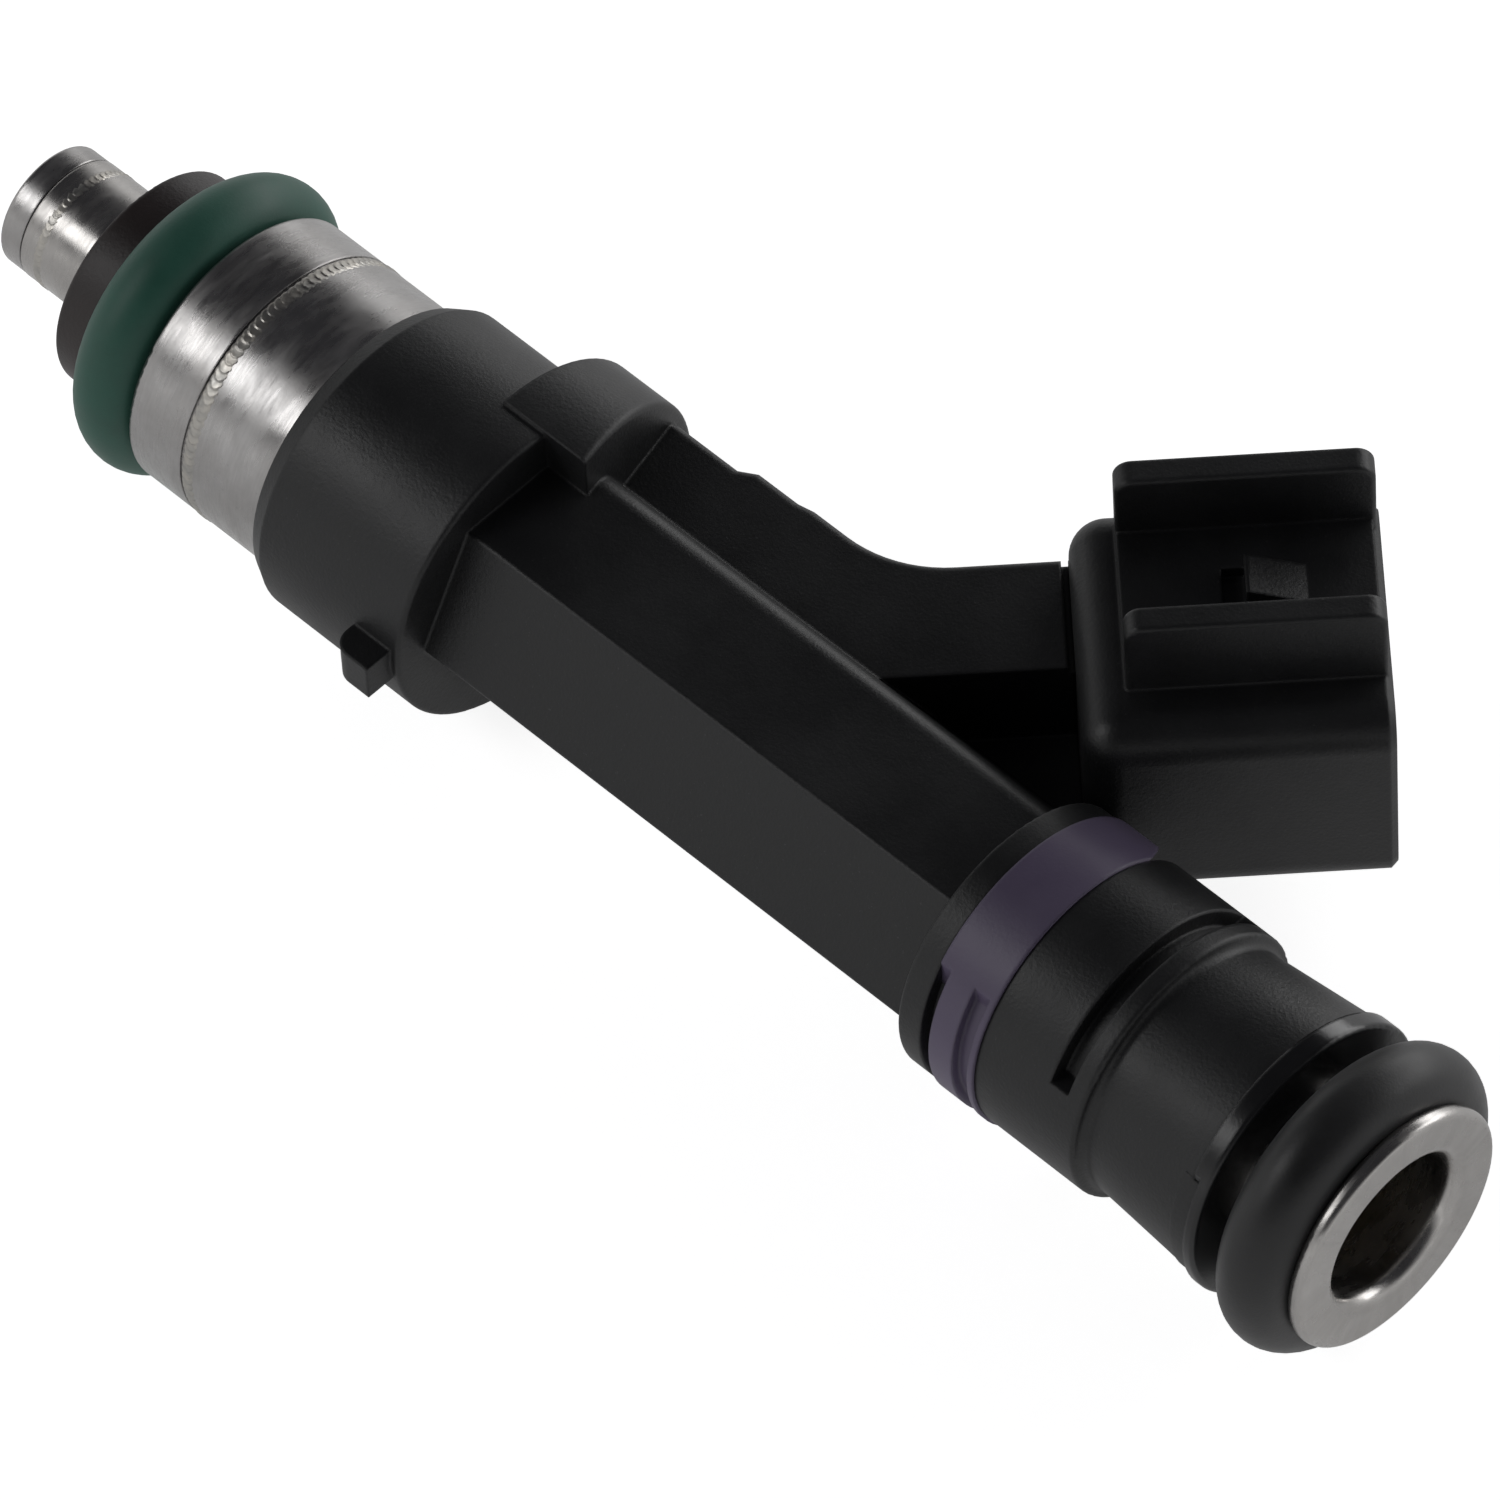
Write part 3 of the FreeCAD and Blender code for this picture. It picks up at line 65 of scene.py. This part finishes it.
class Shader:
    """One node material.  Texture coordinates are the object's own, in metres."""

    def __init__(self, name):
        self.material = bpy.data.materials.new(name)
        self.material.use_nodes = True
        self.tree = self.material.node_tree
        self.tree.nodes.clear()
        output = self.tree.nodes.new("ShaderNodeOutputMaterial")
        self.surface = self.tree.nodes.new("ShaderNodeBsdfPrincipled")
        self.tree.links.new(self.surface.outputs["BSDF"], output.inputs["Surface"])
        self.place = self.tree.nodes.new("ShaderNodeTexCoord").outputs["Object"]

    def put(self, socket, value):
        """A number, a colour or another node's output goes into a socket."""
        if isinstance(value, bpy.types.NodeSocket):
            self.tree.links.new(value, socket)
        elif isinstance(value, (tuple, list)) and len(value) == 3 and socket.type == "RGBA":
            socket.default_value = (*value, 1.0)
        else:
            socket.default_value = value

    def node(self, kind, inputs, output=0, **settings):
        item = self.tree.nodes.new(kind)
        for key, value in settings.items():
            setattr(item, key, value)
        for key, value in inputs.items():
            self.put(item.inputs[key], value)
        return item.outputs[output]

    def sum(self, kind, first, second=0.0):
        """One arithmetic step."""
        return self.node("ShaderNodeMath", {0: first, 1: second}, operation=kind)

    def noise(self, scale, detail=2.0, roughness=0.5, place=None):
        inputs = {"Vector": place or self.place, "Scale": scale, "Detail": detail,
                  "Roughness": roughness}
        return self.node("ShaderNodeTexNoise", inputs)

    def cells(self, scale, place=None, **settings):
        return self.node("ShaderNodeTexVoronoi", {"Vector": place or self.place, "Scale": scale},
                         **settings)

    def remap(self, value, low, high, to_low=0.0, to_high=1.0):
        inputs = {"Value": value, "From Min": low, "From Max": high, "To Min": to_low,
                  "To Max": to_high}
        return self.node("ShaderNodeMapRange", inputs)

    def blend(self, factor, first, second):
        item = self.tree.nodes.new("ShaderNodeMix")
        item.data_type = "RGBA"
        self.put(item.inputs[0], factor)
        self.put(item.inputs[6], first)
        self.put(item.inputs[7], second)
        return item.outputs[2]

    def axes(self):
        """The three coordinates, each as its own output."""
        parts = self.tree.nodes.new("ShaderNodeSeparateXYZ")
        self.put(parts.inputs[0], self.place)
        return parts.outputs

    def joined(self, x, y=0.0, z=0.0):
        return self.node("ShaderNodeCombineXYZ", {"X": x, "Y": y, "Z": z})

    def soft_edges(self, radius):
        return self.node("ShaderNodeBevel", {"Radius": radius}, samples=BEVEL_SAMPLES)

    def bump(self, height, depth, normal=None, strength=1.0):
        inputs = {"Height": height, "Distance": depth, "Strength": strength}
        if normal is not None:
            inputs["Normal"] = normal
        return self.node("ShaderNodeBump", inputs)

    def finish(self, **inputs):
        for key, value in inputs.items():
            self.put(self.surface.inputs[key.replace("_", " ")], value)
        return self.material


def moulded_plastic(name, dark, light, roughness, grain=0.012 * MM, edge=0.22 * MM,
                    dust=0.10):
    """Moulded nylon: fine spark-eroded grain, faint flow marks and pale dust flecks."""
    shader = Shader(name)
    soft = shader.soft_edges(edge)
    cloud = shader.noise(170.0, 4.0, 0.6)
    fine = shader.noise(9000.0, 3.0, 0.7)
    speck = shader.cells(5200.0)
    flow = shader.noise(2400.0, 3.0, 0.6)
    pits = shader.bump(speck, grain * 0.6, soft, 0.8)
    normal = shader.bump(fine, grain, pits, 0.9)
    normal = shader.bump(flow, grain * 1.2, normal, 0.5)
    tone = shader.blend(shader.remap(cloud, 0.35, 0.68), dark, light)
    fleck = shader.remap(shader.noise(5200.0, 2.0, 0.8), 0.66, 0.80, 0.0, dust)
    tone = shader.blend(fleck, tone, DUST_GREY)
    rough = shader.remap(cloud, 0.3, 0.7, roughness - 0.05, roughness + 0.07)
    return shader.finish(Base_Color=tone, Roughness=rough, Normal=normal, IOR=1.52)


def rubber(name, dark, light, roughness):
    """Moulded rubber: soft sheen and fine powdery mottling."""
    shader = Shader(name)
    cloud = shader.noise(420.0, 5.0, 0.65)
    fine = shader.noise(7000.0, 3.0, 0.7)
    tone = shader.blend(shader.remap(cloud, 0.3, 0.7), dark, light)
    normal = shader.bump(fine, 0.010 * MM, None, 0.8)
    normal = shader.bump(shader.noise(900.0, 2.0, 0.5), 0.02 * MM, normal, 0.35)
    rough = shader.remap(cloud, 0.3, 0.7, roughness - 0.05, roughness + 0.08)
    return shader.finish(Base_Color=tone, Roughness=rough, Normal=normal, IOR=1.5,
                         Sheen_Weight=0.12, Sheen_Roughness=0.5)


def turned_steel(name, tone, roughness, marks=0.5, edge=0.12 * MM, stains=1.0):
    """Turned or drawn steel: tool marks round the X axis, smears and small stains."""
    shader = Shader(name)
    x, y, z = shader.axes()
    along = shader.joined(x)
    angle = shader.sum("ARCTAN2", z, y)
    swept = shader.joined(x, shader.sum("MULTIPLY", angle, 0.0006))
    rings = shader.noise(7000.0, 4.0, 0.75, along)
    streak = shader.noise(6500.0, 4.0, 0.7, swept)
    smear = shader.noise(1100.0, 3.0, 0.6, shader.joined(x, shader.sum("MULTIPLY", y, 0.35),
                                                         shader.sum("MULTIPLY", z, 0.35)))
    stain = shader.noise(330.0, 5.0, 0.62)
    speck = shader.remap(shader.noise(3600.0, 3.0, 0.7), 0.66, 0.78, 0.0, 0.45 * stains)
    shade = shader.remap(stain, 0.35, 0.70, 0.0, 0.55 * stains)
    tint = shader.blend(shade, tone, (0.62 * tone[0], 0.60 * tone[1], 0.58 * tone[2]))
    tint = shader.blend(shader.remap(streak, 0.40, 0.72, 0.0, 0.22), tint,
                        tuple(0.55 * c for c in tone))
    tint = shader.blend(speck, tint, tuple(0.35 * c for c in tone))
    rough = shader.remap(smear, 0.30, 0.72, roughness - 0.09, roughness + 0.13)
    rough = shader.sum("ADD", rough, shader.remap(streak, 0.3, 0.75, -0.03, 0.06))
    normal = shader.soft_edges(edge)
    normal = shader.bump(rings, 0.009 * MM, normal, marks)
    normal = shader.bump(streak, 0.004 * MM, normal, marks)
    normal = shader.bump(smear, 0.014 * MM, normal, 0.25)
    return shader.finish(Base_Color=tint, Metallic=1.0, Roughness=rough, Normal=normal)


def polished_metal(name, tone, roughness):
    """Ground or plated metal with faint scuffs."""
    shader = Shader(name)
    scuff = shader.noise(2600.0, 4.0, 0.7)
    stain = shader.noise(300.0, 3.0, 0.5)
    tint = shader.blend(shader.remap(stain, 0.35, 0.7), tone, tuple(0.86 * c for c in tone))
    rough = shader.remap(scuff, 0.3, 0.7, roughness - 0.04, roughness + 0.08)
    normal = shader.bump(scuff, 0.004 * MM, shader.soft_edges(0.06 * MM), 0.4)
    return shader.finish(Base_Color=tint, Metallic=1.0, Roughness=rough, Normal=normal)


def wound_wire(name, tone, pitch):
    """Enamelled wire wound in even turns along the X axis."""
    shader = Shader(name)
    x = shader.axes()[0]
    turn = shader.sum("SINE", shader.sum("MULTIPLY", x, 2.0 * math.pi / pitch))
    height = shader.remap(turn, -1.0, 1.0)
    # The colour is painted darker in the grooves between turns: painted shade in the creases, not
    # a colour of the wire.
    tint = shader.blend(height, tuple(0.35 * c for c in tone), tone)
    return shader.finish(Base_Color=tint, Metallic=0.8, Roughness=0.35,
                         Normal=shader.bump(height, 0.06 * MM))


GAUZE_RADIUS = 2.4 * MM


def gauze(name, tone, pitch):
    """Woven filter cloth: two crossed sets of threads."""
    shader = Shader(name)
    x, y, z = shader.axes()
    angle = shader.sum("MULTIPLY", shader.sum("ARCTAN2", z, y), GAUZE_RADIUS)
    wave = 2.0 * math.pi / pitch
    warp = shader.sum("SINE", shader.sum("MULTIPLY", x, wave))
    weft = shader.sum("SINE", shader.sum("MULTIPLY", angle, wave))
    height = shader.remap(shader.sum("MAXIMUM", warp, weft), -1.0, 1.0)
    # The colour is painted darker where the threads dip and in the gaps between them: painted
    # shade in the weave.
    tint = shader.blend(height, tuple(0.2 * c for c in tone), tone)
    return shader.finish(Base_Color=tint, Roughness=0.7, Normal=shader.bump(height, 0.03 * MM))


FLOOR_GLOW_CAST = 0.26
FLOOR_GLOW_SEEN = 0.84


def floor_paper(name):
    """Matt white paper; its glow is stronger when looked at than on what stands on it."""
    shader = Shader(name)
    tooth = shader.noise(900.0, 3.0, 0.6)
    tint = shader.blend(shader.remap(tooth, 0.3, 0.7), (0.93, 0.93, 0.93), (0.95, 0.95, 0.95))
    seen = shader.tree.nodes.new("ShaderNodeLightPath").outputs["Is Camera Ray"]
    glow = shader.remap(seen, 0.0, 1.0, FLOOR_GLOW_CAST, FLOOR_GLOW_SEEN)
    return shader.finish(Base_Color=tint, Roughness=0.9, Normal=shader.bump(tooth, 0.01 * MM),
                         Emission_Color=(1.0, 1.0, 1.0), Emission_Strength=glow)


MATERIALS = {
    "nylon_black": moulded_plastic("nylon_black", (0.0085, 0.0088, 0.0095),
                                   (0.0135, 0.0140, 0.0150), roughness=0.42),
    "nylon_brown": moulded_plastic("nylon_brown", (0.018, 0.012, 0.012),
                                   (0.028, 0.019, 0.018), roughness=0.42, dust=0.05),
    "nylon_gloss": moulded_plastic("nylon_gloss", (0.010, 0.010, 0.011),
                                   (0.014, 0.014, 0.015), roughness=0.20,
                                   grain=0.003 * MM, dust=0.0),
    "nylon_lilac": moulded_plastic("nylon_lilac", (0.115, 0.092, 0.155),
                                   (0.135, 0.110, 0.178), roughness=0.40,
                                   grain=0.006 * MM, dust=0.03),
    "nylon_bobbin": moulded_plastic("nylon_bobbin", (0.05, 0.045, 0.04), (0.07, 0.06, 0.05),
                                    roughness=0.5),
    "nylon_natural": moulded_plastic("nylon_natural", (0.42, 0.38, 0.28), (0.52, 0.47, 0.36),
                                     roughness=0.45, dust=0.0),
    "rubber_green": rubber("rubber_green", (0.018, 0.095, 0.066), (0.024, 0.120, 0.084),
                           roughness=0.50),
    "rubber_black": rubber("rubber_black", (0.010, 0.010, 0.0105), (0.017, 0.017, 0.018),
                           roughness=0.42),
    "steel_turned": turned_steel("steel_turned", (0.50, 0.49, 0.485), roughness=0.27, marks=0.8),
    "steel_tube": turned_steel("steel_tube", (0.52, 0.505, 0.49), roughness=0.25, marks=0.3,
                               stains=0.6),
    "steel_polished": polished_metal("steel_polished", (0.68, 0.68, 0.68), roughness=0.12),
    "steel_magnetic": turned_steel("steel_magnetic", (0.50, 0.50, 0.50), roughness=0.36,
                                   marks=0.4),
    "steel_spring": polished_metal("steel_spring", (0.44, 0.44, 0.45), roughness=0.25),
    "terminal_tin": polished_metal("terminal_tin", (0.66, 0.64, 0.60), roughness=0.22),
    "copper_wire": wound_wire("copper_wire", (0.62, 0.25, 0.11), pitch=0.15 * MM),
    "brass_ring": polished_metal("brass_ring", (0.70, 0.52, 0.24), roughness=0.25),
    "filter_gauze": gauze("filter_gauze", (0.55, 0.53, 0.47), pitch=0.12 * MM),
}


def dress(item, material):
    """Give an object one material through its own slots."""
    if not item.material_slots:
        item.data.materials.append(material)
    for slot in item.material_slots:
        slot.link = "OBJECT"
        slot.material = material


for part in frame["record"]["subparts"]:
    dress(NODES[part["node"]], MATERIALS[part["material_slot"]])


# ------------------------------------------------------------------ added pieces


def mesh_object(name, build):
    """An object from a function that fills a bmesh."""
    mesh = bpy.data.meshes.new(name)
    model = bmesh.new()
    build(model)
    bmesh.ops.recalc_face_normals(model, faces=model.faces)
    model.to_mesh(mesh)
    model.free()
    for face in mesh.polygons:
        face.use_smooth = True
    item = bpy.data.objects.new(name, mesh)
    bpy.context.scene.collection.objects.link(item)
    return item


SPOT_STEPS = 10
BEAD_COLUMNS = 13


def weld_bead(name, station, radius, half_width, spots, height, sunk):
    """A laser weld round the X axis: overlapping spots, each a shallow curved scale."""
    around = spots * SPOT_STEPS

    def build(model):
        rows = []
        for step in range(around):
            angle = 2.0 * math.pi * step / around
            row = []
            for column in range(BEAD_COLUMNS):
                side = 2.0 * column / (BEAD_COLUMNS - 1) - 1.0
                wander = 0.06 * math.sin(angle * 5.0) + 0.04 * math.sin(angle * 13.0 + 1.0)
                phase = (step / SPOT_STEPS + 0.9 * side * side) % 1.0
                scale = 0.55 + 0.45 * phase * phase
                crown = math.sqrt(max(0.0, 1.0 - side * side))
                edge = 1.0 + 0.16 * math.sin(math.pi * ((step / SPOT_STEPS + 0.5) % 1.0))
                reach = radius - sunk + (height + sunk) * crown * scale
                x = station + half_width * (side * edge + wander)
                row.append(model.verts.new((x, reach * math.cos(angle), reach * math.sin(angle))))
            rows.append(row)
        for step in range(around):
            here = rows[step]
            there = rows[(step + 1) % around]
            for column in range(BEAD_COLUMNS - 1):
                model.faces.new((here[column], here[column + 1], there[column + 1],
                                 there[column]))

    return mesh_object(name, build)


def weld_steel(name):
    """Weld metal: duller and a little heat-tinted."""
    shader = Shader(name)
    tint = shader.blend(shader.remap(shader.noise(1500.0, 3.0, 0.6), 0.35, 0.7),
                        (0.42, 0.41, 0.39), (0.58, 0.55, 0.50))
    rough = shader.remap(shader.noise(4000.0, 3.0, 0.6), 0.3, 0.7, 0.28, 0.46)
    return shader.finish(Base_Color=tint, Metallic=1.0, Roughness=rough,
                         Normal=shader.bump(shader.noise(6000.0, 2.0, 0.5), 0.006 * MM))


WELD = weld_steel("weld_steel")
TIP_WELD = weld_bead("tip_weld_bead", station=2.32 * MM, radius=2.98 * MM,
                     half_width=0.26 * MM, spots=58, height=0.03 * MM, sunk=0.03 * MM)
BODY_WELD = weld_bead("body_weld_bead", station=15.22 * MM, radius=6.57 * MM,
                      half_width=0.34 * MM, spots=104, height=0.05 * MM, sunk=0.04 * MM)
for bead in (TIP_WELD, BODY_WELD):
    dress(bead, WELD)
    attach(bead, "injector")


# ------------------------------------------------------------------ floor, light, camera


def add_floor():
    low = CAD_BOX[0][2]

    def build(model):
        corners = [model.verts.new((x, y, low)) for x, y in
                   ((-1.2, -1.2), (1.3, -1.2), (1.3, 1.2), (-1.2, 1.2))]
        model.faces.new(corners)

    item = mesh_object("floor", build)
    dress(item, floor_paper("floor_paper"))


def aim(item, place, target):
    item.location = place
    item.rotation_euler = (Vector(target) - Vector(place)).to_track_quat("-Z", "Y").to_euler()


def area_light(name, place, target, size, power, colour=(1.0, 1.0, 1.0)):
    data = bpy.data.lights.new(name, "AREA")
    data.shape = "RECTANGLE"
    data.size, data.size_y = size
    data.energy = power
    data.color = colour
    item = bpy.data.objects.new(name, data)
    bpy.context.scene.collection.objects.link(item)
    aim(item, place, target)
    return item


OBJECT_MIDDLE = (0.04, 0.005, 0.0)
ROOM_LOW = (0.08, (1.0, 1.0, 1.0, 1.0))
ROOM_HIGH = (0.50, (0.05, 0.05, 0.055, 1.0))
ROOM_STRENGTH = 0.75


def add_lights():
    """Two softboxes in a room that is white low down and dim overhead."""
    area_light("key_softbox", (-0.20, -0.28, 0.30), OBJECT_MIDDLE, (0.26, 0.16), 0.35)
    area_light("rim_softbox", (0.10, 0.46, 0.16), OBJECT_MIDDLE, (0.60, 0.20), 0.9)
    world = bpy.data.worlds.new("studio_room")
    world.use_nodes = True
    tree = world.node_tree
    back = tree.nodes["Background"]
    place = tree.nodes.new("ShaderNodeTexCoord")
    parts = tree.nodes.new("ShaderNodeSeparateXYZ")
    ramp = tree.nodes.new("ShaderNodeValToRGB")
    tree.links.new(place.outputs["Generated"], parts.inputs[0])
    tree.links.new(parts.outputs["Z"], ramp.inputs["Fac"])
    tree.links.new(ramp.outputs["Color"], back.inputs["Color"])
    for stop, (position, colour) in zip(ramp.color_ramp.elements, (ROOM_LOW, ROOM_HIGH)):
        stop.position = position
        stop.color = colour
    back.inputs["Strength"].default_value = ROOM_STRENGTH
    bpy.context.scene.world = world


CAMERA_RIGHT = Vector((0.71250, 0.70056, -0.03990))
CAMERA_UP = Vector((-0.54378, 0.58716, 0.59960))
CAMERA_PLACE = Vector((0.3370, -0.2698, 0.5309))
CAMERA_LENS = 384.0
CAMERA_SENSOR = 36.0


def add_camera():
    """A long lens above the inlet end, on the side away from the connector."""
    back = CAMERA_RIGHT.cross(CAMERA_UP)
    data = bpy.data.cameras.new("camera")
    data.lens = CAMERA_LENS
    data.sensor_width = CAMERA_SENSOR
    data.clip_start = 0.05
    data.clip_end = 20.0
    item = bpy.data.objects.new("camera", data)
    bpy.context.scene.collection.objects.link(item)
    turn = Matrix((CAMERA_RIGHT, CAMERA_UP, back)).transposed().to_4x4()
    item.matrix_world = Matrix.Translation(CAMERA_PLACE) @ turn
    bpy.context.scene.camera = item


bpy.context.scene.view_settings.view_transform = "Standard"
add_floor()
add_lights()
add_camera()
